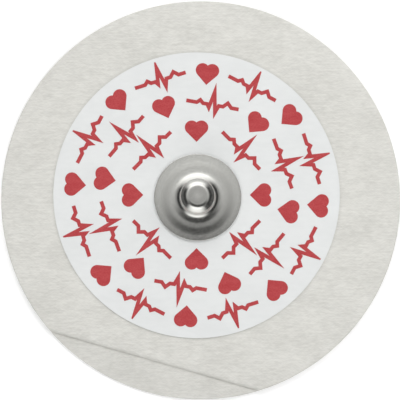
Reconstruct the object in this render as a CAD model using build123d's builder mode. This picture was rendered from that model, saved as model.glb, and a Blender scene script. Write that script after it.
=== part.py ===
from build123d import *

import os
from math import atan, cos, pi, sin, tan

# Single-use electrode for heart monitoring, lying with its gel pad on the table.
# Millimetres. The origin is on the table under the middle of the cloth disc, +Z goes up to the stud,
# and the lift tab is at the lower left as seen from above with +Y away from the viewer.

# Cloth disc
disc_diameter = 45.0
cloth_thickness = 0.35
cloth_lift = 0.35           # underside of the cloth above the table

# Lift tab, a strip stuck under the cloth's straight edge
tab_line = 18.8             # disc's centre to the straight edge
tab_bearing = 254.1         # direction of the tab, degrees from +X
tab_overlap = 2.6
tab_thickness = 0.15

# Film label, stuck a little off the disc's centre
label_diameter = 32.3
label_thickness = 0.10
label_shift_x = -0.46
label_shift_y = 0.52

# Axis of the snap, which the stud, the eyelet and the gel share
snap_shift_x = -0.33
snap_shift_y = 0.23

# Red print: rings of hearts and heartbeat traces
ink_thickness = 0.02
heart_side = 1.55           # side of the square that carries the heart's two lobes
trace_length = 6.0
trace_peak = 1.45
trace_stroke = 0.42
ring_radius = 7.1           # innermost ring
ring_pitch = 3.25
ring_repeats = (4, 6, 8)

# Snap stud, pressed from sheet
stud_sheet = 0.28
stud_height = 3.60
flange_diameter = 9.8
flange_rise = 0.032         # slope of the flange's outer ring
step_inset = 1.07           # rim to the middle of the raised step
step_half_width = 0.34
step_height = 0.075
plateau_rise = 0.035
foot_inset = 2.20           # rim to where the flange turns up towards the neck
foot_rise = 0.28
neck_height = 1.085         # foot to the top of the neck
neck_undercut = 0.23        # head's radius less the neck's
head_diameter = 3.90
head_flare = 0.35           # height over which the neck opens to the head
crown_rise = 0.45           # height over which the head's top rounds off
crown_flat = 1.26           # where that begins, from the axis
rim_chamfer = 0.10
step_fillet = 5.0
cone_fillet = 2.5
neck_fillet = 0.35
head_fillet = 0.42
crown_fillet = 1.10

# Sensor eyelet
eyelet_diameter = 8.6
eyelet_thickness = 0.30
eyelet_edge = 0.10

# Gel pad
gel_diameter = 17.0
gel_edge = 0.15

# Clearances
crimp_clearance = 0.04      # eyelet's post to the stud's inside
hole_clearance = 0.10       # eyelet's post to the label's hole
gel_clearance = 0.05        # gel to the eyelet's flange
opening_clearance = 0.15    # gel to the cloth's opening
print_margin = 0.40         # print to the stud's flange and the label's edge

# Derived sizes
disc_radius = disc_diameter / 2
label_radius = label_diameter / 2
gel_radius = gel_diameter / 2
eyelet_radius = eyelet_diameter / 2
flange_radius = flange_diameter / 2
head_radius = head_diameter / 2
neck_radius = head_radius - neck_undercut
step_outer = flange_radius - step_inset + step_half_width
step_inner = flange_radius - step_inset - step_half_width
cone_start = flange_radius - foot_inset
foot_fillet = neck_height * 0.78
shoulder_fillet = head_radius * 0.28
foot_slope = atan(foot_rise / (cone_start - neck_radius))
foot_turn = pi / 2 - foot_slope
foot_bevel = (foot_fillet + stud_sheet) * (tan(foot_turn / 2) - tan(foot_turn / 4))
hollow_cone_end = neck_radius - stud_sheet + foot_bevel * cos(foot_slope)
post_radius = neck_radius - stud_sheet - crimp_clearance
tip_radius = head_radius - stud_sheet - crimp_clearance

# Derived heights, from the table up
label_bottom = cloth_lift + cloth_thickness
label_top = label_bottom + label_thickness
eyelet_bottom = label_bottom - eyelet_thickness
rim = label_top + stud_sheet
plateau = rim + flange_rise + step_height
cone_base = plateau + plateau_rise
foot = cone_base + foot_rise
hollow_foot = foot + stud_sheet * (tan(foot_slope) - 1 / cos(foot_slope))
neck_top = foot + neck_height
hollow_neck = neck_top + stud_sheet / 2
crown = label_top + stud_height
shoulder = crown - crown_rise - shoulder_fillet

# Planes: the cloth's has its X towards the tab, and the snap's is under the stud
cloth_plane = Plane.XY.rotated((0, 0, tab_bearing))
label_plane = Plane((label_shift_x, label_shift_y, 0))
snap_plane = Plane((snap_shift_x, snap_shift_y, 0))
snap_section = Plane((snap_shift_x, snap_shift_y, 0), x_dir=(1, 0, 0), z_dir=(0, -1, 0))
snap_axis = Axis((snap_shift_x, snap_shift_y, 0), (0, 0, 1))
snap_on_label = (snap_shift_x - label_shift_x, snap_shift_y - label_shift_y)

os.makedirs("parts", exist_ok=True)

# Cloth: a disc with a straight edge over the tab and an opening for the gel
with BuildPart() as backing:
    with BuildSketch(cloth_plane.offset(cloth_lift)):
        Circle(disc_radius)
        with Locations((tab_line, 0)):
            Rectangle(disc_radius, disc_diameter, align=(Align.MIN, Align.CENTER), mode=Mode.SUBTRACT)
    extrude(amount=cloth_thickness)
    with BuildSketch(snap_plane.offset(cloth_lift)):
        Circle(gel_radius + opening_clearance)
    extrude(amount=cloth_thickness, mode=Mode.SUBTRACT)

# Tab: the rest of the same disc, with a margin that is stuck under the cloth
with BuildPart() as pull_tab:
    with BuildSketch(cloth_plane.offset(cloth_lift - tab_thickness)):
        Circle(disc_radius)
        with Locations((tab_line - tab_overlap, 0)):
            Rectangle(disc_radius, disc_diameter, align=(Align.MIN, Align.CENTER), mode=Mode.INTERSECT)
    extrude(amount=tab_thickness)

# Label: a film disc with a hole for the eyelet's post
with BuildPart() as label:
    with BuildSketch(label_plane.offset(label_bottom)):
        Circle(label_radius)
        with Locations(snap_on_label):
            Circle(post_radius + hole_clearance, mode=Mode.SUBTRACT)
    extrude(amount=label_thickness)

# Print: one heart and one heartbeat trace, repeated in rings on the label
with BuildSketch() as heart:
    Rectangle(heart_side, heart_side, rotation=45)
    with PolarLocations(heart_side / 2, 2, start_angle=45, angular_range=180):
        Circle(heart_side / 2)

with BuildSketch() as heartbeat:
    with BuildLine():
        Polyline(
            (-trace_length / 2, 0),
            (-trace_length * 0.30, 0),
            (-trace_length * 0.24, trace_peak * 0.22),
            (-trace_length * 0.18, 0),
            (-trace_length * 0.10, 0),
            (-trace_length * 0.06, -trace_peak * 0.25),
            (0, trace_peak),
            (trace_length * 0.07, -trace_peak * 0.55),
            (trace_length * 0.12, 0),
            (trace_length * 0.20, 0),
            (trace_length * 0.28, trace_peak * 0.33),
            (trace_length * 0.36, 0),
            (trace_length / 2, 0),
        )
    trace(line_width=trace_stroke)

with BuildPart() as label_print:
    with BuildSketch(label_plane.offset(label_top)):
        for ring, repeats in enumerate(ring_repeats):
            radius = ring_radius + ring * ring_pitch
            half_step = 180 / repeats
            with PolarLocations(radius, repeats, start_angle=90 + ring * 20):
                add(heart.sketch, rotation=-90)
            with PolarLocations(radius, repeats, start_angle=90 + ring * 20 + half_step):
                add(heartbeat.sketch, rotation=-90)
        Circle(label_radius - print_margin, mode=Mode.INTERSECT)
        with Locations(snap_on_label):
            Circle(flange_radius + print_margin, mode=Mode.SUBTRACT)
    extrude(amount=ink_thickness)

# Stud: a section through the pressed sheet and the hollow under it, turned about the snap's axis
with BuildPart() as stud:
    with BuildSketch(snap_section):
        with BuildLine():
            skin = FilletPolyline(
                (flange_radius, label_top),
                (flange_radius, rim - rim_chamfer),
                (flange_radius - rim_chamfer, rim),
                (step_outer, rim + flange_rise),
                (step_inner, plateau),
                (cone_start, cone_base),
                (neck_radius, foot),
                (neck_radius, neck_top),
                (head_radius, neck_top + head_flare),
                (head_radius, crown - crown_rise),
                (crown_flat, crown),
                (0, crown),
                radius=(
                    0,
                    0,
                    step_fillet,
                    step_fillet,
                    cone_fillet,
                    foot_fillet,
                    neck_fillet,
                    head_fillet,
                    shoulder_fillet,
                    crown_fillet,
                ),
            )
            Polyline(skin @ 1, (0, label_top), skin @ 0)
        make_face()
        with BuildLine():
            Polyline(
                (0, label_top),
                (flange_radius - stud_sheet, label_top),
                (step_outer, rim + flange_rise - stud_sheet),
                (step_inner, plateau - stud_sheet),
                (cone_start, cone_base - stud_sheet),
                (hollow_cone_end, hollow_foot - foot_bevel * sin(foot_slope)),
                (neck_radius - stud_sheet, hollow_foot + foot_bevel),
                (neck_radius - stud_sheet, hollow_neck),
                (head_radius - stud_sheet, hollow_neck + head_flare),
                (head_radius - stud_sheet, shoulder),
                (head_radius - shoulder_fillet, crown - crown_rise - stud_sheet),
                (crown_flat - stud_sheet / 2, crown - stud_sheet),
                (0, crown - stud_sheet),
                close=True,
            )
        make_face(mode=Mode.SUBTRACT)
    revolve(axis=snap_axis)

# Eyelet: a flange under the label and a post whose swollen tip fills the stud's head
with BuildPart() as eyelet:
    with BuildSketch(snap_section):
        with BuildLine():
            Polyline(
                (0, eyelet_bottom),
                (eyelet_radius, eyelet_bottom),
                (eyelet_radius, label_bottom),
                (post_radius, label_bottom),
                (post_radius, hollow_neck),
                (tip_radius, hollow_neck + head_flare),
                (tip_radius, shoulder),
                (0, shoulder),
                close=True,
            )
        make_face()
    revolve(axis=snap_axis)
    chamfer(eyelet.edges().group_by(Axis.Z)[0], eyelet_edge)

# Gel pad: fills the cloth's opening up to the label, with a seat for the eyelet's flange
with BuildPart() as gel_pad:
    with BuildSketch(snap_plane):
        Circle(gel_radius)
    extrude(amount=label_bottom)
    with BuildSketch(snap_plane.offset(eyelet_bottom)):
        Circle(eyelet_radius + gel_clearance)
    extrude(amount=eyelet_thickness, mode=Mode.SUBTRACT)
    chamfer(gel_pad.edges().group_by(Axis.Z)[0], gel_edge)

backing.part.label = "backing"
export_step(backing.part, "parts/backing.step")

pull_tab.part.label = "pull_tab"
export_step(pull_tab.part, "parts/pull_tab.step")

label.part.label = "label"
export_step(label.part, "parts/label.step")

label_print.part.label = "label_print"
export_step(label_print.part, "parts/label_print.step")

stud.part.label = "stud"
export_step(stud.part, "parts/stud.step")

eyelet.part.label = "eyelet"
export_step(eyelet.part, "parts/eyelet.step")

gel_pad.part.label = "gel_pad"
export_step(gel_pad.part, "parts/gel_pad.step")
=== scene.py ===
"""Looks of a single-use electrode for heart monitoring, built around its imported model.

Sizes are millimetres in the row's frame: the origin is on the table under the middle of the
cloth disc, +Z goes up along the snap stud and +Y away from the viewer. Meshes are in metres.
"""

import logging
import math
from dataclasses import dataclass
from enum import Enum
from typing import Any, Dict, List, Optional, Sequence, Tuple, Union

import bpy
import numpy as np
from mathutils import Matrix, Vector, noise

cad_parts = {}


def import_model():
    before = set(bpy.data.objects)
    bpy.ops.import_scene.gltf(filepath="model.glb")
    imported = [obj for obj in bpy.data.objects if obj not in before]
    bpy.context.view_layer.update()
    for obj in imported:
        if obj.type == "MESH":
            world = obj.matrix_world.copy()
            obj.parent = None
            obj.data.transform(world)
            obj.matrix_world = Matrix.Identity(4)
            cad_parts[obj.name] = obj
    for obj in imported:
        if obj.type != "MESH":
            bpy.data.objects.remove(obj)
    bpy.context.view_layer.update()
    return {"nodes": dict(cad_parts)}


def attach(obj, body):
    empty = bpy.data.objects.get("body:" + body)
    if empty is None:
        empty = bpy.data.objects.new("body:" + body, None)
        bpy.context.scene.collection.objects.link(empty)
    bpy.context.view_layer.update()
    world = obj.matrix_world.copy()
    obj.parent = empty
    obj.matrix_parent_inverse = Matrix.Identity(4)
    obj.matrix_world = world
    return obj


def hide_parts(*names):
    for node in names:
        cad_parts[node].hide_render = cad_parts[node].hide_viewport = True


LOG = logging.getLogger("electrode")

MM = 0.001
TINY = 1e-6
SHARP_DEG = 50.0  # edges that turn more than this stay crisp
BODY = "root"

Colour = Tuple[float, float, float]
Size = Tuple[float, float, float]
Point = Tuple[float, float]
Span = Tuple[float, float]
Number = Union[int, float]

WHITE: Colour = (1.0, 1.0, 1.0)
SNAP_XY: Point = (-0.33, 0.23)
LABEL_XY: Point = (-0.46, 0.52)
LABEL_RADIUS = 16.15


class Slot(Enum):
    """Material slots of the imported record."""

    CLOTH = "cloth"
    TAB = "tab"
    FILM = "film"
    INK = "ink"
    METAL = "snap_metal"
    SENSOR = "sensor"
    GEL = "gel"


class Node(Enum):
    """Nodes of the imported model."""

    BACKING = "backing"
    TAB = "pull_tab"
    LABEL = "label"
    PRINT = "label_print"
    STUD = "stud"
    EYELET = "eyelet"
    GEL = "gel_pad"


# Shader graphs


class Wire:
    """An output socket whose arithmetic adds Math nodes to its graph."""

    def __init__(self, graph: "Graph", socket: Optional[bpy.types.NodeSocket]) -> None:
        """Keeps the socket and the graph that it belongs to."""
        self.graph = graph
        self.socket = socket

    def _math(self, operation: str, first: "Value", second: "Value") -> "Wire":
        """Adds one Math node.

        Args:
            operation: The Math node's operation.
            first: Its first value or link.
            second: Its second value or link.

        Returns:
            The result.
        """
        return self.graph.add("ShaderNodeMath", {"operation": operation}, {0: first, 1: second})

    def __add__(self, other: "Value") -> "Wire":
        """self + other"""
        return self._math("ADD", self, other)

    def __radd__(self, other: "Value") -> "Wire":
        """other + self"""
        return self._math("ADD", other, self)

    def __sub__(self, other: "Value") -> "Wire":
        """self - other"""
        return self._math("SUBTRACT", self, other)

    def __rsub__(self, other: "Value") -> "Wire":
        """other - self"""
        return self._math("SUBTRACT", other, self)

    def __mul__(self, other: "Value") -> "Wire":
        """self * other"""
        return self._math("MULTIPLY", self, other)

    def __rmul__(self, other: "Value") -> "Wire":
        """other * self"""
        return self._math("MULTIPLY", other, self)

    def __or__(self, other: "Value") -> "Wire":
        """The larger of the two."""
        return self._math("MAXIMUM", self, other)

    def shared(self, other: "Wire", share: float) -> "Wire":
        """This value, with a share of it given over to another."""
        return self * (1 - share) + other * share

    def cosine(self) -> "Wire":
        """Cosine of this angle in radians."""
        return self.graph.add("ShaderNodeMath", {"operation": "COSINE"}, {0: self})

    def arccos(self) -> "Wire":
        """Angle with this cosine, in radians."""
        return self.graph.add("ShaderNodeMath", {"operation": "ARCCOSINE"}, {0: self})

    def ramp(self, low: float, high: float, start: float = 0.0, end: float = 1.0) -> "Wire":
        """Eases from start to end as the value goes from low to high.

        Args:
            low: Value at which the ramp starts.
            high: Value at which it ends.
            start: Result at and below low.
            end: Result at and above high.

        Returns:
            The eased value.
        """
        return self.graph.add(
            "ShaderNodeMapRange",
            {"interpolation_type": "SMOOTHSTEP"},
            {"Value": self, "From Min": low, "From Max": high, "To Min": start, "To Max": end},
        )


Value = Union[Wire, Number, Sequence[float]]


class Graph:
    """Builds one node tree."""

    def __init__(self, tree: bpy.types.NodeTree) -> None:
        """Empties the tree."""
        self.tree = tree
        tree.nodes.clear()

    def add(
        self,
        kind: str,
        settings: Optional[Dict[str, Any]] = None,
        inputs: Optional[Dict[Union[str, int], Value]] = None,
        output: Union[str, int] = 0,
    ) -> Wire:
        """Adds any node.

        Args:
            kind: Type of the node.
            settings: Its properties, set first.
            inputs: Values or links of its sockets, by name or index.
            output: Name or index of the socket to return.

        Returns:
            That output socket.
        """
        node = self.tree.nodes.new(kind)
        for key, value in (settings or {}).items():
            setattr(node, key, value)
        for key, value in (inputs or {}).items():
            socket = node.inputs[key]
            if isinstance(value, Wire):
                self.tree.links.new(value.socket, socket)
            elif socket.type == "RGBA" and len(value) == 3:
                socket.default_value = (*value, 1.0)
            else:
                socket.default_value = value
        return Wire(self, node.outputs[output] if len(node.outputs) else None)

    def place(self) -> Wire:
        """Point on the surface in the row's frame, in metres."""
        return self.add("ShaderNodeTexCoord", output="Object")

    def cells(self, size_mm: Size, turn_deg: float) -> Wire:
        """Surface point counted in cells of a given size.

        Args:
            size_mm: Cell's size along X, Y and Z.
            turn_deg: Turn of the cells about Z.

        Returns:
            The vector for a texture node.
        """
        return self.add(
            "ShaderNodeMapping",
            {"vector_type": "TEXTURE"},
            {
                "Vector": self.place(),
                "Rotation": (0.0, 0.0, math.radians(turn_deg)),
                "Scale": tuple(s * MM for s in size_mm),
            },
        )

    def noise(self, size_mm: Size, detail: float = 2.0, turn_deg: float = 0.0) -> Wire:
        """Soft noise between 0 and 1.

        Args:
            size_mm: Size of its blobs along X, Y and Z.
            detail: Octaves of finer noise.
            turn_deg: Turn of the blobs about Z.

        Returns:
            The noise's value.
        """
        vector = self.cells(size_mm, turn_deg)
        return self.add(
            "ShaderNodeTexNoise", {}, {"Vector": vector, "Scale": 1.0, "Detail": detail}
        )

    def mix(self, factor: Value, first: Value, second: Value) -> Wire:
        """Mixes two colours.

        Args:
            factor: 0 for the first, 1 for the second.
            first: First colour.
            second: Second colour.

        Returns:
            The mixed colour.
        """
        return self.add(
            "ShaderNodeMix", {"data_type": "RGBA"}, {0: factor, 6: first, 7: second}, output=2
        )

    def vector(
        self, operation: str, first: Value, second: Value = (0, 0, 0), output: int = 0
    ) -> Wire:
        """Adds one Vector Math node.

        Args:
            operation: The node's operation.
            first: Its first vector.
            second: Its second vector.
            output: 0 for a vector, 1 for a number.

        Returns:
            The result.
        """
        return self.add(
            "ShaderNodeVectorMath", {"operation": operation}, {0: first, 1: second}, output
        )

    def level(self, way: Wire) -> Wire:
        """Level part of a vector."""
        return self.vector("MULTIPLY", way, (1, 1, 0))

    def distance(self, centre_mm: Point) -> Wire:
        """Distance of the surface point from an upright line, in metres.

        Args:
            centre_mm: X and Y of the line.

        Returns:
            The distance.
        """
        middle = (centre_mm[0] * MM, centre_mm[1] * MM, 0.0)
        from_line = self.level(self.vector("SUBTRACT", self.place(), middle))
        return self.vector("LENGTH", from_line, output=1)

    def bump(self, height: Wire, depth_mm: float) -> Wire:
        """Normal of a surface with fine relief.

        Args:
            height: Relief from 0 to 1.
            depth_mm: Depth of the relief.

        Returns:
            The normal.
        """
        return self.add("ShaderNodeBump", {}, {"Height": height, "Distance": depth_mm * MM})

    def principled(self, **inputs: Value) -> Wire:
        """Principled shader, with sockets named like base_color or ior."""
        names = {"ior": "IOR", "specular_ior_level": "Specular IOR Level"}
        named = {names.get(k, k.replace("_", " ").title()): v for k, v in inputs.items()}
        return self.add("ShaderNodeBsdfPrincipled", {}, named)

    def seen(self) -> Wire:
        """1 for rays from the camera, in reflections and through clear things."""
        rays = [
            self.add("ShaderNodeLightPath", output=name)
            for name in ("Is Camera Ray", "Is Glossy Ray", "Is Transmission Ray")
        ]
        return rays[0] | rays[1] | rays[2]


class Finish:
    """A surface finish that makes its own material."""

    title: str

    def shade(self, graph: Graph) -> Wire:
        """Adds the finish's nodes and returns its shader."""
        raise NotImplementedError

    def material(self) -> bpy.types.Material:
        """Makes the material.

        Returns:
            A node material with the finish's shader at its output.
        """
        made = bpy.data.materials.new(self.title)
        made.use_nodes = True
        graph = Graph(made.node_tree)
        graph.add("ShaderNodeOutputMaterial", {}, {"Surface": self.shade(graph)})
        return made

    def put_on(self, piece: bpy.types.Object) -> None:
        """Makes this the piece's only material."""
        piece.data.materials.clear()
        piece.data.materials.append(self.material())


@dataclass(frozen=True)
class NonwovenFinish(Finish):
    """Matt nonwoven tape: fibres mostly along X, soft clouds, and a painted shadow along the
    label's edge.
    """

    title: str
    light: Colour
    dark: Colour
    # Painted shadow: colour, strength and reach of the darkening painted on the cloth next to the
    # label's edge, standing in for the label's shade.
    painted_shadow: Colour = (0.45, 0.445, 0.415)
    painted_shadow_share: float = 0.21
    painted_shadow_mm: Span = (0.05, 0.42)  # beyond the label's edge
    fibre_mm: Size = (1.05, 0.20, 0.20)
    cross_mm: Size = (0.62, 0.12, 0.12)
    cross_turn: float = 30.0
    cross_share: float = 0.5
    cloud_mm: Size = (5.0, 3.4, 5.0)
    cloud_share: float = 0.28
    tone_span: Span = (0.31, 0.69)
    relief_span: Span = (0.25, 0.75)
    relief_mm: float = 0.017
    roughness: float = 0.86
    fuzz: float = 0.1
    specular: float = 0.25
    sheen: float = 0.05

    def shade(self, graph: Graph) -> Wire:
        """Fibres set colour and relief, clouds shift the colour, and a painted shadow darkens the
        cloth just beyond the label's edge.

        Args:
            graph: Graph to add to.

        Returns:
            The shader.
        """
        fibres = graph.noise(self.fibre_mm, detail=3.0)
        leaning = graph.noise(self.cross_mm, turn_deg=self.cross_turn)
        falling = graph.noise(self.cross_mm, turn_deg=-self.cross_turn)
        clouds = graph.noise(self.cloud_mm, detail=3.0)
        web = fibres.shared(leaning.shared(falling, 0.5), self.cross_share)
        tone = web.shared(clouds, self.cloud_share).ramp(*self.tone_span)
        plain = graph.mix(tone, self.dark, self.light)
        # Painted shadow: just beyond the label's edge the cloth's colour is darkened, standing in
        # for the label's shade on it.
        start, end = ((LABEL_RADIUS + d) * MM for d in self.painted_shadow_mm)
        line = graph.distance(LABEL_XY).ramp(start, end, self.painted_shadow_share, 0.0)
        return graph.principled(
            base_color=graph.mix(line, plain, self.painted_shadow),
            roughness=self.roughness + self.fuzz * web,
            specular_ior_level=self.specular,
            sheen_weight=self.sheen,
            normal=graph.bump(web.ramp(*self.relief_span), self.relief_mm),
        )


@dataclass(frozen=True)
class FilmFinish(Finish):
    """Satin film through which the cloth below shows as faint relief."""

    title: str = "satin_film"
    light: Colour = (0.793, 0.806, 0.801)
    dark: Colour = (0.750, 0.764, 0.759)
    web_mm: Size = (1.3, 0.5, 1.0)
    wave_mm: Size = (4.5, 3.0, 4.0)
    tone_waves: float = 0.6
    tone_span: Span = (0.30, 0.70)
    relief_waves: float = 0.65
    relief_mm: float = 0.030
    roughness: float = 0.40
    rough_web: float = 0.12
    ior: float = 1.49

    def shade(self, graph: Graph) -> Wire:
        """Broad waves and a fine web, both faint.

        Args:
            graph: Graph to add to.

        Returns:
            The shader.
        """
        web = graph.noise(self.web_mm, detail=3.0)
        waves = graph.noise(self.wave_mm)
        tone = web.shared(waves, self.tone_waves).ramp(*self.tone_span)
        return graph.principled(
            base_color=graph.mix(tone, self.dark, self.light),
            roughness=self.roughness + self.rough_web * web,
            ior=self.ior,
            normal=graph.bump(web.shared(waves, self.relief_waves), self.relief_mm),
        )


@dataclass(frozen=True)
class InkFinish(Finish):
    """Red ink on the film, a little uneven where the film's relief took less."""

    title: str = "red_ink"
    deep: Colour = (0.420, 0.038, 0.044)
    thin: Colour = (0.495, 0.070, 0.075)
    grain_mm: Size = (0.16, 0.12, 0.16)
    web_mm: Size = (1.3, 0.5, 1.0)
    web_share: float = 0.4
    tone_span: Span = (0.32, 0.68)
    relief_mm: float = 0.004
    roughness: float = 0.36
    rough_grain: float = 0.14
    ior: float = 1.49

    def shade(self, graph: Graph) -> Wire:
        """Fine grain over the film's web.

        Args:
            graph: Graph to add to.

        Returns:
            The shader.
        """
        grain = graph.noise(self.grain_mm)
        web = graph.noise(self.web_mm, detail=3.0)
        tone = grain.shared(web, self.web_share).ramp(*self.tone_span)
        return graph.principled(
            base_color=graph.mix(tone, self.deep, self.thin),
            roughness=self.roughness + self.rough_grain * grain,
            ior=self.ior,
            normal=graph.bump(grain, self.relief_mm),
        )


@dataclass(frozen=True)
class NickelFinish(Finish):
    """Satin pressed sheet: fine mottle, and painted reflection bands as darker rings round the
    stud's axis.
    """

    title: str = "satin_nickel"
    light: Colour = (0.785, 0.784, 0.745)
    dark: Colour = (0.745, 0.744, 0.706)
    # Painted reflection bands: colour of the darker rings round the stud's axis.
    painted_band: Colour = (0.590, 0.588, 0.556)
    ring_mm: float = 2.98
    ring_pitch_mm: float = 1.45
    ring_share: float = 0.70
    mottle_mm: Size = (0.30, 0.30, 0.30)
    mottle_span: Span = (0.32, 0.68)
    grain_mm: Size = (0.045, 0.045, 0.045)
    grain_share: float = 0.4
    gloss_span: Span = (0.3, 0.7)
    smoothest: float = 0.17
    roughest: float = 0.25
    relief_mm: float = 0.0012

    def shade(self, graph: Graph) -> Wire:
        """Mottle and the painted reflection rings set the colour, mottle and grain the gloss,
        grain the relief.

        Args:
            graph: Graph to add to.

        Returns:
            The shader.
        """
        mottle = graph.noise(self.mottle_mm, detail=4.0)
        # Painted reflection bands: darker rings round the axis, mixed into the metal's colour.
        out = graph.distance(SNAP_XY) - self.ring_mm * MM
        rings = 0.5 - 0.5 * (out * (2 * math.pi / (self.ring_pitch_mm * MM))).cosine()
        plain = graph.mix(mottle.ramp(*self.mottle_span), self.dark, self.light)
        grain = graph.noise(self.grain_mm)
        gloss = mottle.shared(grain, self.grain_share)
        return graph.principled(
            base_color=graph.mix(rings * self.ring_share, plain, self.painted_band),
            metallic=1.0,
            roughness=gloss.ramp(*self.gloss_span, self.smoothest, self.roughest),
            normal=graph.bump(grain, self.relief_mm),
        )


@dataclass(frozen=True)
class SilverCoatFinish(Finish):
    """Grey silver coating of the moulded sensor, darker in patches."""

    title: str = "silver_coat"
    light: Colour = (0.50, 0.50, 0.49)
    dark: Colour = (0.36, 0.355, 0.345)
    patch_mm: Size = (1.2, 1.2, 1.2)
    patch_span: Span = (0.35, 0.65)
    grain_mm: Size = (0.06, 0.06, 0.06)
    relief_mm: float = 0.004
    metallic: float = 0.35
    roughness: float = 0.40
    rough_grain: float = 0.2

    def shade(self, graph: Graph) -> Wire:
        """Patches set the colour, grain the gloss and relief.

        Args:
            graph: Graph to add to.

        Returns:
            The shader.
        """
        patches = graph.noise(self.patch_mm, detail=4.0)
        grain = graph.noise(self.grain_mm)
        return graph.principled(
            base_color=graph.mix(patches.ramp(*self.patch_span), self.dark, self.light),
            metallic=self.metallic,
            roughness=self.roughness + self.rough_grain * grain,
            normal=graph.bump(grain, self.relief_mm),
        )


@dataclass(frozen=True)
class GelFinish(Finish):
    """Moist clear gel with a faint haze."""

    title: str = "moist_gel"
    clear: Colour = (0.93, 0.93, 0.89)
    hazy: Colour = (0.88, 0.88, 0.82)
    haze_mm: Size = (2.6, 2.6, 2.6)
    haze_span: Span = (0.3, 0.7)
    ripple_mm: Size = (0.9, 0.9, 0.9)
    relief_mm: float = 0.020
    roughness: float = 0.10
    rough_haze: float = 0.12
    ior: float = 1.36
    clearness: float = 0.5

    def shade(self, graph: Graph) -> Wire:
        """Haze sets colour and gloss, ripples the relief.

        Args:
            graph: Graph to add to.

        Returns:
            The shader.
        """
        haze = graph.noise(self.haze_mm, detail=3.0)
        ripple = graph.noise(self.ripple_mm)
        return graph.principled(
            base_color=graph.mix(haze.ramp(*self.haze_span), self.clear, self.hazy),
            roughness=self.roughness + self.rough_haze * haze,
            ior=self.ior,
            transmission_weight=self.clearness,
            normal=graph.bump(ripple, self.relief_mm),
        )


@dataclass(frozen=True)
class FloorFinish(Finish):
    """White table that keeps shadows, plain white further out, and clear for what is below it."""

    title: str = "white_table"
    white: float = 0.80
    lift: float = 0.27
    near_mm: float = 34.0
    far_mm: float = 120.0

    def shade(self, graph: Graph) -> Wire:
        """White paint, with a little light of its own for the rays that see it.

        Args:
            graph: Graph to add to.

        Returns:
            The shader.
        """
        paint = graph.add("ShaderNodeBsdfDiffuse", {}, {"Color": (self.white,) * 3})
        reach = graph.vector("LENGTH", graph.place(), output=1)
        away = reach.ramp(self.near_mm * MM, self.far_mm * MM)
        glow = graph.add("ShaderNodeEmission", {}, {"Strength": self.lift})
        plain = graph.add("ShaderNodeEmission", {}, {"Strength": 1.0})
        lit = graph.add("ShaderNodeAddShader", {}, {0: paint, 1: glow})
        shown = graph.add("ShaderNodeMixShader", {}, {0: away, 1: lit, 2: plain})
        front = graph.add("ShaderNodeMixShader", {}, {0: graph.seen(), 1: paint, 2: shown})
        below = graph.add("ShaderNodeNewGeometry", output="Backfacing")
        shadow = graph.add("ShaderNodeLightPath", output="Is Shadow Ray")
        clear = graph.add("ShaderNodeBsdfTransparent", {}, {"Color": WHITE})
        return graph.add("ShaderNodeMixShader", {}, {0: below | shadow, 1: front, 2: clear})


# Mesh helpers


def grid_faces(
    rows: int, columns: int, close_rows: bool = False, close_columns: bool = False
) -> List[Tuple[int, int, int, int]]:
    """Quads of a grid whose points are numbered row by row.

    Args:
        rows: Number of rows.
        columns: Number of points in a row.
        close_rows: Joins the last row to the first.
        close_columns: Joins each row's last point to its first.

    Returns:
        Corner numbers of each quad.
    """
    faces = []
    for i in range(rows if close_rows else rows - 1):
        j = (i + 1) % rows
        for k in range(columns if close_columns else columns - 1):
            m = (k + 1) % columns
            faces.append((i * columns + k, i * columns + m, j * columns + m, j * columns + k))
    return faces


def link_new(name: str, data: bpy.types.ID) -> bpy.types.Object:
    """Makes an object of a mesh, lamp or camera and links it to the scene.

    Args:
        name: Object's name.
        data: What it shows.

    Returns:
        The linked object.
    """
    thing = bpy.data.objects.new(name, data)
    bpy.context.scene.collection.objects.link(thing)
    return thing


def aim_back(thing: bpy.types.Object, way: Vector) -> None:
    """Turns a lamp or camera that stands in a direction to look back along it."""
    thing.rotation_mode = "QUATERNION"
    thing.rotation_quaternion = (-way).to_track_quat("-Z", "Y")


def new_piece(
    name: str, points_mm: np.ndarray, faces: Sequence[Sequence[int]]
) -> bpy.types.Object:
    """Makes a smooth mesh object at the origin.

    Args:
        name: Piece's name.
        points_mm: One row per point.
        faces: Corner numbers of each face, counter-clockwise seen from outside.

    Returns:
        The linked object.
    """
    mesh = bpy.data.meshes.new(name)
    mesh.from_pydata([tuple(p) for p in points_mm * MM], [], [tuple(f) for f in faces])
    mesh.validate()
    mesh.shade_smooth()
    mesh.set_sharp_from_angle(angle=math.radians(SHARP_DEG))
    return link_new(name, mesh)


def rounded(corners: Sequence[Tuple[float, float, float]], step_deg: float) -> List[Point]:
    """Points along an open line whose corners are rounded.

    Args:
        corners: X, Y and rounding radius of each corner.
        step_deg: Turn between points on an arc.

    Returns:
        The line's points.
    """
    line: List[Point] = []
    for i, (*corner, radius) in enumerate(corners):
        here = Vector(corner)
        if radius <= 0 or i in (0, len(corners) - 1):
            line.append(tuple(corner))
            continue
        back = (Vector(corners[i - 1][:2]) - here).normalized()
        ahead = (Vector(corners[i + 1][:2]) - here).normalized()
        half = back.angle(ahead) / 2
        middle = here + (back + ahead).normalized() * (radius / math.sin(half))
        start = here + back * (radius / math.tan(half)) - middle
        turn = math.pi - 2 * half
        way = 1.0 if back.x * ahead.y - back.y * ahead.x < 0 else -1.0
        steps = max(2, math.ceil(math.degrees(turn) / step_deg))
        for k in range(steps + 1):
            angle = way * turn * k / steps
            c, s = math.cos(angle), math.sin(angle)
            x, y = c * start.x - s * start.y, s * start.x + c * start.y
            line.append((middle.x + x, middle.y + y))
    return line


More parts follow.
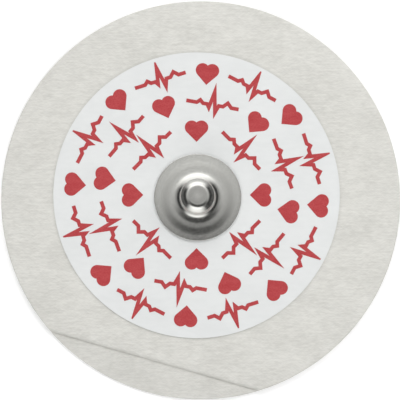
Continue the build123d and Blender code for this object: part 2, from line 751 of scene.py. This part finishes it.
def turned(
    name: str, section: Sequence[Point], centre: Point, segments: int
) -> bpy.types.Object:
    """Turns a closed section about a vertical axis.

    Args:
        name: Piece's name.
        section: Radius and height of each point, clockwise in the half plane right of the axis.
        centre: The axis's X and Y.
        segments: Number of points round.

    Returns:
        The piece, closed where the section meets the axis.
    """
    angles = np.linspace(0, 2 * math.pi, segments, endpoint=False)
    points: List[Tuple[float, float, float]] = []
    rings: List[List[int]] = []
    for radius, height in section:
        if radius < TINY:
            rings.append([len(points)])
            points.append((centre[0], centre[1], height))
            continue
        rings.append(list(range(len(points), len(points) + segments)))
        points += [
            (centre[0] + radius * math.cos(a), centre[1] + radius * math.sin(a), height)
            for a in angles
        ]
    faces: List[Tuple[int, ...]] = []
    for upper, lower in zip(rings, rings[1:] + rings[:1]):
        for k in range(segments):
            m = (k + 1) % segments
            if len(upper) == 1 and len(lower) == 1:
                break
            if len(upper) == 1:
                faces.append((upper[0], lower[k], lower[m]))
            elif len(lower) == 1:
                faces.append((upper[k], lower[0], upper[m]))
            else:
                faces.append((upper[k], lower[k], lower[m], upper[m]))
    return new_piece(name, np.array(points), faces)


def place_piece(piece: bpy.types.Object, slot: Slot, node: Node) -> None:
    """Puts a piece on the part's body in the place of its node.

    Args:
        piece: The piece.
        slot: Material slot that the piece stands for, only named in the log.
        node: Node that it stands for.
    """
    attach(piece, BODY)
    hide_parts(node.value)
    LOG.info("%s: %d faces, slot %s", piece.name, len(piece.data.polygons), slot.value)


def dress_node(piece: bpy.types.Object, finish: Finish) -> None:
    """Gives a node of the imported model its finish.

    Args:
        piece: The node's object.
        finish: Finish to put on it.
    """
    finish.put_on(piece)
    LOG.info("%s: dressed as %s", piece.name, finish.title)


# Sub-assemblies


@dataclass
class SnapAxis:
    """Axis that the stud, sensor and gel share, and the label's place and levels."""

    centre: Point = SNAP_XY
    label_centre: Point = LABEL_XY
    label_radius: float = LABEL_RADIUS
    label_margin: float = 0.2
    label_bottom: float = 0.70
    label_top: float = 0.80

    def beyond_label(self, x: np.ndarray, y: np.ndarray) -> np.ndarray:
        """How far each place is from a line just outside the label's edge."""
        from_middle = np.hypot(x - self.label_centre[0], y - self.label_centre[1])
        return from_middle - self.label_radius - self.label_margin


@dataclass
class ClothBacking:
    """Nonwoven disc, cut straight along one edge, with the strip that comes out under it."""

    axis: SnapAxis
    disc_radius: float = 22.5
    opening_radius: float = 8.65
    top: float = 0.70
    thickness: float = 0.35
    tab_thickness: float = 0.15
    tab_line: float = 18.92
    tab_bearing: float = 254.1
    tab_overlap: float = 2.6
    edge_round: float = 0.10
    edge_press: float = 0.09
    cut_press: float = 0.23
    press_width: float = 0.5
    tab_round: float = 0.06
    tab_corner: float = 0.03  # keeps the tab's ends off the disc's rim
    tab_least: float = 0.005
    sag: float = 0.09
    sag_waves: Tuple[Tuple[int, float, float], ...] = ((3, 0.45, 0.7), (5, 0.30, -1.2))
    lump: float = 0.008
    lump_size: Point = (1.4, 0.9)
    lump_fade: float = 0.8
    lump_layer: float = 0.3
    wobble: float = 0.018
    fray_size: float = 0.35
    cloth_fray_layer: float = 1.7
    tab_fray_layer: float = 4.1
    rays: int = 720
    ray_gap: float = 0.4  # share of a step that the cut's corners keep free of other rays
    rows: int = 30
    tab_rays: int = 300
    tab_rows: int = 14
    row_crowding: float = 1.3
    arc_steps: int = 6
    cloth: NonwovenFinish = NonwovenFinish(
        "nonwoven_cloth", (0.766, 0.759, 0.717), (0.592, 0.585, 0.547)
    )
    strip: NonwovenFinish = NonwovenFinish(
        "nonwoven_strip", (0.724, 0.717, 0.678), (0.565, 0.559, 0.523)
    )

    @property
    def tab_ways(self) -> Tuple[np.ndarray, np.ndarray]:
        """Directions out over the tab and along the straight edge."""
        toward = math.radians(self.tab_bearing)
        normal = np.array([math.cos(toward), math.sin(toward)])
        return normal, np.array([-normal[1], normal[0]])

    @property
    def flat_area(self) -> float:
        """Cloth's area in square millimetres, without its opening and what lies past the cut."""
        r, d = self.disc_radius, self.tab_line
        beyond = r * r * math.acos(d / r) - d * math.sqrt(r * r - d * d)
        return math.pi * (r * r - self.opening_radius**2) - beyond

    def sink(self, x: np.ndarray, y: np.ndarray) -> np.ndarray:
        """How far the cloth hangs below its flat level beyond the label.

        Args:
            x: Places across.
            y: Places along.

        Returns:
            Depth at each place.
        """
        from_label = self.axis.beyond_label(x, y)
        t = np.clip(from_label / (self.disc_radius - self.axis.label_radius), 0, 1)
        bearing = np.arctan2(y, x)
        waves = 1 + sum(s * np.sin(n * bearing + shift) for n, s, shift in self.sag_waves)
        return self.sag * t * t * (3 - 2 * t) * waves

    def unrest(self, x: np.ndarray, y: np.ndarray) -> np.ndarray:
        """Faint unevenness of the cloth's face beyond the label.

        Args:
            x: Places across.
            y: Places along.

        Returns:
            Height at each place.
        """
        fade = np.clip(self.axis.beyond_label(x, y) / self.lump_fade, 0, 1)
        across, along = x / self.lump_size[0], y / self.lump_size[1]
        rough = [noise.noise(Vector((a, b, self.lump_layer))) for a, b in zip(across, along)]
        return self.lump * fade * np.array(rough)

    def fray(self, x: np.ndarray, y: np.ndarray, layer: float) -> np.ndarray:
        """How far fibres are missing from a cut edge.

        Args:
            x: Places across.
            y: Places along.
            layer: Layer of the noise, one for each edge.

        Returns:
            Depth at each place.
        """
        across, along = x / self.fray_size, y / self.fray_size
        rough = [noise.noise(Vector((a, b, layer))) for a, b in zip(across, along)]
        return self.wobble * (0.5 + 0.5 * np.array(rough))

    def _outline(self) -> Tuple[np.ndarray, np.ndarray, np.ndarray]:
        """Matched points on the opening and on the outline.

        Returns:
            The two rings of X and Y, one row per ray from the axis, and how far the cut
            pressed the cloth down at each ray's end.
        """
        normal, side = self.tab_ways
        half_chord = math.sqrt(self.disc_radius**2 - self.tab_line**2)
        centre = np.array(self.axis.centre)
        ends = [normal * self.tab_line + side * s * half_chord - centre for s in (-1, 1)]
        corners = [math.atan2(e[1], e[0]) for e in ends]
        gap = self.ray_gap * 2 * math.pi / self.rays
        evenly = np.linspace(-math.pi, math.pi, self.rays, endpoint=False)
        clear = [a for a in evenly if min(abs(a - c) for c in corners) > gap]
        angles = np.array(sorted(clear + corners))
        ways = np.stack([np.cos(angles), np.sin(angles)], 1)
        along = ways @ centre
        to_rim = -along + np.sqrt(along**2 + self.disc_radius**2 - centre @ centre)
        facing = ways @ normal
        with np.errstate(divide="ignore"):
            to_cut = np.where(facing > TINY, (self.tab_line - normal @ centre) / facing, np.inf)
        reach = np.minimum(to_rim, to_cut)
        edge = centre + ways * reach[:, None]
        reach = reach - self.fray(edge[:, 0], edge[:, 1], self.cloth_fray_layer)
        press = np.where(to_cut < to_rim, self.cut_press, self.edge_press)
        return centre + ways * self.opening_radius, centre + ways * reach[:, None], press

    def _section(
        self, thickness: float, rounding: float, steps: int
    ) -> List[Tuple[float, float, float]]:
        """Closed section of a cut sheet.

        Args:
            thickness: Sheet's thickness.
            rounding: Radius at the upper edge; the lower one has half of it.
            steps: Points across the sheet.

        Returns:
            Distance in from the rounding as a share, distance in the rounding, and height
            over the underside, from the top's inner edge round to the underside's.
        """
        share = np.linspace(1, 0, steps) ** self.row_crowding
        turns = np.linspace(0, math.pi / 2, self.arc_steps + 1)[1:]
        arc = [(1 - math.sin(a), 1 - math.cos(a)) for a in turns]
        small = rounding / 2
        upper = [(float(s), rounding, thickness) for s in share]
        upper += [(0.0, rounding * a, thickness - rounding * b) for a, b in arc]
        lower = [(0.0, small * b, small * a) for a, b in arc]
        lower += [(float(s), rounding, 0.0) for s in share[::-2]]
        return upper + lower

    def build_cloth(self) -> bpy.types.Object:
        """Makes the disc.

        Returns:
            The cloth piece.
        """
        inner, outer, press = self._outline()
        width = np.linalg.norm(outer - inner, axis=1)
        rows = []
        for share, inset, height in self._section(self.thickness, self.edge_round, self.rows):
            back = inset + share * (width - self.edge_round)
            spot = outer + (inner - outer) * (back / width)[:, None]
            x, y = spot[:, 0], spot[:, 1]
            level = self.top - self.thickness + height - self.sink(x, y)
            if height > self.thickness / 2:
                near = np.clip(1 - back / self.press_width, 0, 1)
                level = level + self.unrest(x, y) - press * near * near
            rows.append(np.stack([x, y, level], 1))
        points = np.concatenate(rows)
        faces = grid_faces(len(rows), len(inner), close_rows=True, close_columns=True)
        return new_piece("cloth_backing", points, [f[::-1] for f in faces])

    def build_tab(self) -> bpy.types.Object:
        """Makes the strip.

        Returns:
            The tab piece.
        """
        normal, side = self.tab_ways
        start = self.tab_line - self.tab_overlap
        half = math.sqrt(self.disc_radius**2 - (start + self.tab_corner) ** 2)
        across = half * np.sin(np.linspace(-math.pi / 2, math.pi / 2, self.tab_rays))
        rim = np.sqrt(self.disc_radius**2 - across**2)
        frayed = rim - self.fray(across, rim, self.tab_fray_layer)
        rim = np.maximum(frayed, start + self.tab_least)
        width = rim - start
        rounding = np.minimum(self.tab_round, 0.5 * width)
        rows = []
        for share, inset, height in self._section(
            self.tab_thickness, self.tab_round, self.tab_rows
        ):
            back = inset * rounding / self.tab_round + share * (width - rounding)
            spot = np.outer(rim - back, normal) + np.outer(across, side)
            x, y = spot[:, 0], spot[:, 1]
            level = self.top - self.thickness - self.tab_thickness + height - self.sink(x, y)
            rows.append(np.stack([x, y, level], 1))
        count = len(rows)
        points = np.concatenate(rows)
        faces: List[Sequence[int]] = list(grid_faces(count, self.tab_rays, close_rows=True))
        faces.append([i * self.tab_rays for i in range(count)])
        faces.append([(i + 1) * self.tab_rays - 1 for i in reversed(range(count))])
        return new_piece("cloth_tab", points, [f[::-1] for f in faces])

    def build(self, gel: bpy.types.Object) -> None:
        """Args:
            gel: Piece that the cloth lies round; not used.
        """
        cloth, tab = self.build_cloth(), self.build_tab()
        self.dress(cloth, tab)
        place_piece(cloth, Slot.CLOTH, Node.BACKING)
        place_piece(tab, Slot.TAB, Node.TAB)
        self.flat_area * MM * MM

    def dress(self, cloth: bpy.types.Object, tab: bpy.types.Object) -> None:
        """Gives both their nonwoven finishes."""
        self.cloth.put_on(cloth)
        self.strip.put_on(tab)


@dataclass
class FilmLabel:
    """Printed film disc, shown as its own nodes."""

    film: FilmFinish = FilmFinish()
    ink: InkFinish = InkFinish()

    def dress(self, nodes: Dict[str, bpy.types.Object]) -> None:
        """Gives the film and its print their finishes.

        Args:
            nodes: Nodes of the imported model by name.
        """
        dress_node(nodes[Node.LABEL.value], self.film)
        dress_node(nodes[Node.PRINT.value], self.ink)


@dataclass
class SnapStud:
    """Stud pressed from sheet: flange with a soft step, fillet, neck and rounded head."""

    axis: SnapAxis
    sheet: float = 0.28
    height: float = 3.60
    flange_radius: float = 4.90
    flange_rise: float = 0.032
    step_inset: float = 1.07
    step_half_width: float = 0.34
    step_height: float = 0.075
    plateau_rise: float = 0.035
    foot_inset: float = 2.20
    foot_rise: float = 0.28
    neck_height: float = 1.085
    neck_undercut: float = 0.23
    head_radius: float = 1.95
    head_flare: float = 0.35
    crown_rise: float = 0.43
    crown_flat: float = 1.32
    rim_round: float = 0.05
    step_fillet: float = 5.0
    cone_fillet: float = 2.5
    neck_fillet: float = 0.35
    head_fillet: float = 0.42
    shoulder_fillet: float = 0.17
    crown_fillet: float = 1.10
    foot_share: float = 0.78  # foot's fillet as a share of the neck's height
    hollow_share: float = 0.28  # bevel inside the shoulder as a share of the head's radius
    arc_step_deg: float = 2.5
    segments: int = 224
    metal: NickelFinish = NickelFinish()

    def section(self) -> List[Point]:
        """Section through the sheet.

        Returns:
            Radius and height round the section, from the crown out over the flange and back
            under the sheet.
        """
        base = self.axis.label_top
        rim = base + self.sheet
        plateau = rim + self.flange_rise + self.step_height
        cone_base = plateau + self.plateau_rise
        foot = cone_base + self.foot_rise
        neck_top = foot + self.neck_height
        crown = base + self.height
        neck = self.head_radius - self.neck_undercut
        step_outer = self.flange_radius - self.step_inset + self.step_half_width
        step_inner = self.flange_radius - self.step_inset - self.step_half_width
        cone_start = self.flange_radius - self.foot_inset
        foot_fillet = self.neck_height * self.foot_share
        hollow_shoulder = self.head_radius * self.hollow_share
        skin = rounded(
            [
                (0.0, crown, 0.0),
                (self.crown_flat, crown, self.crown_fillet),
                (self.head_radius, crown - self.crown_rise, self.shoulder_fillet),
                (self.head_radius, neck_top + self.head_flare, self.head_fillet),
                (neck, neck_top, self.neck_fillet),
                (neck, foot, foot_fillet),
                (cone_start, cone_base, self.cone_fillet),
                (step_inner, plateau, self.step_fillet),
                (step_outer, rim + self.flange_rise, self.step_fillet),
                (self.flange_radius, rim, self.rim_round),
                (self.flange_radius, base, 0.0),
            ],
            self.arc_step_deg,
        )
        inside = self.head_radius - self.sheet
        hollow_neck = neck_top + self.sheet / 2
        slope = math.atan(self.foot_rise / (cone_start - neck))
        turn = math.pi / 2 - slope
        bevel = (foot_fillet + self.sheet) * (math.tan(turn / 2) - math.tan(turn / 4))
        under = foot + self.sheet * (math.tan(slope) - 1 / math.cos(slope))
        hollow = [
            (self.flange_radius - self.sheet, base),
            (step_outer, rim + self.flange_rise - self.sheet),
            (step_inner, plateau - self.sheet),
            (cone_start, cone_base - self.sheet),
            (neck - self.sheet + bevel * math.cos(slope), under - bevel * math.sin(slope)),
            (neck - self.sheet, under + bevel),
            (neck - self.sheet, hollow_neck),
            (inside, hollow_neck + self.head_flare),
            (inside, crown - self.crown_rise - hollow_shoulder),
            (self.head_radius - hollow_shoulder, crown - self.crown_rise - self.sheet),
            (self.crown_flat - self.sheet / 2, crown - self.sheet),
            (0.0, crown - self.sheet),
        ]
        return skin + hollow

    def build(self) -> None:
        """Makes and dresses the stud."""
        stud = turned("snap_stud", self.section(), self.axis.centre, self.segments)
        self.metal.put_on(stud)
        place_piece(stud, Slot.METAL, Node.STUD)


@dataclass
class Sensor:
    """Silver-coated eyelet under the label and the gel disc round it."""

    axis: SnapAxis
    gel_radius: float = 8.5
    gel_edge: float = 0.18
    seat_radius: float = 4.35
    seat_level: float = 0.40
    seat_round: float = 0.06
    lip_round: float = 0.04
    top_round: float = 0.08
    arc_step_deg: float = 12.0
    segments: int = 160
    silver: SilverCoatFinish = SilverCoatFinish()
    gel: GelFinish = GelFinish()

    def build(self, nodes: Dict[str, bpy.types.Object]) -> bpy.types.Object:
        """Dresses the eyelet, and makes and dresses the gel.

        Args:
            nodes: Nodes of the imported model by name.

        Returns:
            The gel piece.
        """
        dress_node(nodes[Node.EYELET.value], self.silver)
        top = self.axis.label_bottom
        section = rounded(
            [
                (0.0, self.seat_level, 0.0),
                (self.seat_radius, self.seat_level, self.seat_round),
                (self.seat_radius, top, self.lip_round),
                (self.gel_radius, top, self.top_round),
                (self.gel_radius, 0.0, self.gel_edge),
                (0.0, 0.0, 0.0),
            ],
            self.arc_step_deg,
        )
        gel = turned("gel_disc", section, self.axis.centre, self.segments)
        self.gel.put_on(gel)
        place_piece(gel, Slot.GEL, Node.GEL)
        return gel


# Studio


@dataclass(frozen=True)
class SoftBox:
    """Area lamp aimed at the stud."""

    name: str
    bearing_deg: float
    from_zenith_deg: float
    distance: float
    width: float
    height: float
    radiance: float

    def hang(self) -> None:
        """Makes the lamp."""
        data = bpy.data.lights.new(self.name, "AREA")
        data.shape = "RECTANGLE"
        data.size, data.size_y = self.width, self.height
        data.energy = self.radiance * math.pi * self.width * self.height
        turn, lean = math.radians(self.bearing_deg), math.radians(self.from_zenith_deg)
        out = math.sin(lean)
        way = Vector((out * math.cos(turn), out * math.sin(turn), math.cos(lean)))
        lamp = link_new(self.name, data)
        lamp.location = way * self.distance
        aim_back(lamp, way)
        lamp.visible_camera = False
        lamp.visible_glossy = False


@dataclass(frozen=True)
class Glow:
    """Soft-edged patch of the room that the metal reflects, in front of or behind the stud."""

    level: float
    bearing_deg: float
    aside_deg: Span
    low_deg: Span
    high_deg: Span

    def patch(self, graph: Graph, flat: Wire, rise: Wire) -> Wire:
        """How much of the patch each direction shows.

        Args:
            graph: The room's graph.
            flat: Level part of the direction, one long.
            rise: Sine of the elevation.

        Returns:
            Its light.
        """
        bearing = math.radians(self.bearing_deg)
        middle = (math.cos(bearing), math.sin(bearing), 0.0)
        facing = graph.vector("DOT_PRODUCT", flat, middle, output=1)
        inner, outer = (math.cos(math.radians(a)) for a in self.aside_deg)
        low = [math.sin(math.radians(a)) for a in self.low_deg]
        high = [math.sin(math.radians(a)) for a in self.high_deg]
        across = facing.ramp(outer, inner)
        return across * rise.ramp(*low) * rise.ramp(*high, 1.0, 0.0) * self.level


@dataclass
class Studio:
    """White table, soft boxes, the room that the metal reflects, and the camera."""

    tilt_deg: float = 3.8
    distance: float = 0.60
    frame_mm: float = 45.10
    target_mm: Size = (-0.07, -0.04, 0.70)
    sensor_mm: float = 36.0
    clip: Span = (0.01, 10.0)
    floor_reach: float = 3.0
    floor_sides: int = 64
    floor_drop: float = 1e-5
    room_light: float = 0.40
    wall_low: float = 0.40
    wall_high: float = 0.035
    wall_fade_deg: Span = (12.0, 22.0)
    wall_top_deg: Span = (50.0, 70.0)
    ceiling_dark: float = 0.04
    ceiling_grey: float = 0.57
    ceiling_light: float = 0.80
    ceiling_lean_deg: float = 20.0
    ceiling_inner_deg: Span = (13.0, 25.0)
    ceiling_outer_deg: Span = (27.0, 46.0)
    ceiling_squeeze: float = 0.75
    glows: Tuple[Glow, ...] = (
        Glow(1.45, 95.0, (12.0, 55.0), (12.0, 27.0), (62.0, 74.0)),
        Glow(1.50, 264.0, (6.0, 46.0), (-2.0, 38.0), (51.0, 61.0)),
    )
    boxes: Tuple[SoftBox, ...] = (
        SoftBox("back_box", 98.0, 48.0, 0.60, 0.26, 0.26, 5.95),
        SoftBox("front_box", 258.0, 52.0, 0.90, 0.56, 0.69, 2.55),
        SoftBox("key_box", 36.0, 46.0, 0.35, 0.22, 0.22, 2.6),
        SoftBox("under_box", 0.0, 180.0, 0.50, 0.50, 0.50, 2.4),
    )

    def build_floor(self) -> None:
        """Makes the table."""
        reach = self.floor_reach
        mesh = bpy.data.meshes.new("table")
        angles = np.linspace(0, 2 * math.pi, self.floor_sides, endpoint=False)
        ring = [(reach * math.cos(a), reach * math.sin(a), -self.floor_drop) for a in angles]
        mesh.from_pydata(ring, [], [tuple(range(len(ring)))])
        floor = link_new("table", mesh)
        FloorFinish().put_on(floor)

    def build_world(self) -> None:
        """White room at a plain level of light, with dark walls and soft glows in the metal."""
        world = bpy.data.worlds.new("room")
        bpy.context.scene.world = world
        world.use_nodes = True
        graph = Graph(world.node_tree)
        way = graph.add("ShaderNodeTexCoord", output="Generated")
        rise = graph.add("ShaderNodeSeparateXYZ", {}, {0: way}, 2)
        flat = graph.vector("NORMALIZE", graph.level(way))
        foot, fade, low, high = (
            math.sin(math.radians(a)) for a in self.wall_fade_deg + self.wall_top_deg
        )
        over = rise.ramp(low, high)
        wall = rise.ramp(foot, fade, self.wall_low, self.wall_high)
        room = wall * (1 - over) + self.ceiling(graph, way) * over
        for glow in self.glows:
            room = room + glow.patch(graph, flat, rise)
        camera = graph.add("ShaderNodeLightPath", output="Is Camera Ray")
        glossy = graph.add("ShaderNodeLightPath", output="Is Glossy Ray")
        clear = graph.add("ShaderNodeLightPath", output="Is Transmission Ray")
        white = camera | clear
        plain = self.room_light * (1 - (white | glossy))
        level = white + room * glossy + plain
        back = graph.add("ShaderNodeBackground", {}, {"Color": WHITE, "Strength": level})
        graph.add("ShaderNodeOutputWorld", {}, {"Surface": back})

    def ceiling(self, graph: Graph, way: Wire) -> Wire:
        """Ceiling that is dark over the camera.

        Args:
            graph: The room's graph.
            way: Direction into the room.

        Returns:
            Its light.
        """
        lean = math.radians(self.ceiling_lean_deg)
        narrow = (self.ceiling_squeeze, 1.0, 1.0)
        way = graph.vector("NORMALIZE", graph.vector("MULTIPLY", way, narrow))
        toward = (0.0, -math.sin(lean), math.cos(lean))
        facing = graph.vector("DOT_PRODUCT", way, toward, output=1)
        off = facing.arccos() * math.degrees(1)
        inner = off.ramp(*self.ceiling_inner_deg, self.ceiling_dark, self.ceiling_grey)
        more = self.ceiling_light - self.ceiling_grey
        return inner + off.ramp(*self.ceiling_outer_deg, 0.0, more)

    def build_camera(self) -> None:
        """Makes the camera at the photograph's angle."""
        data = bpy.data.cameras.new("camera")
        data.sensor_width = self.sensor_mm
        data.lens = self.sensor_mm * self.distance / (self.frame_mm * MM)
        data.clip_start, data.clip_end = self.clip
        camera = link_new("camera", data)
        lean = math.radians(self.tilt_deg)
        back = Vector((0.0, -math.sin(lean), math.cos(lean)))
        camera.location = Vector(self.target_mm) * MM + back * self.distance
        aim_back(camera, back)
        bpy.context.scene.camera = camera

    def build(self) -> None:
        """Makes the whole studio."""
        bpy.context.scene.view_settings.view_transform = "Standard"
        self.build_camera()
        self.build_floor()
        self.build_world()
        for box in self.boxes:
            box.hang()
        LOG.info("studio: %d soft boxes", len(self.boxes))


def main() -> None:
    """Builds the studio and every piece in order."""
    logging.basicConfig(level=logging.INFO, format="%(name)s: %(message)s")
    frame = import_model()
    Studio().build()
    axis = SnapAxis()
    gel = Sensor(axis).build(frame["nodes"])
    ClothBacking(axis).build(gel)
    FilmLabel().dress(frame["nodes"])
    SnapStud(axis).build()


if __name__ == "__main__":
    main()
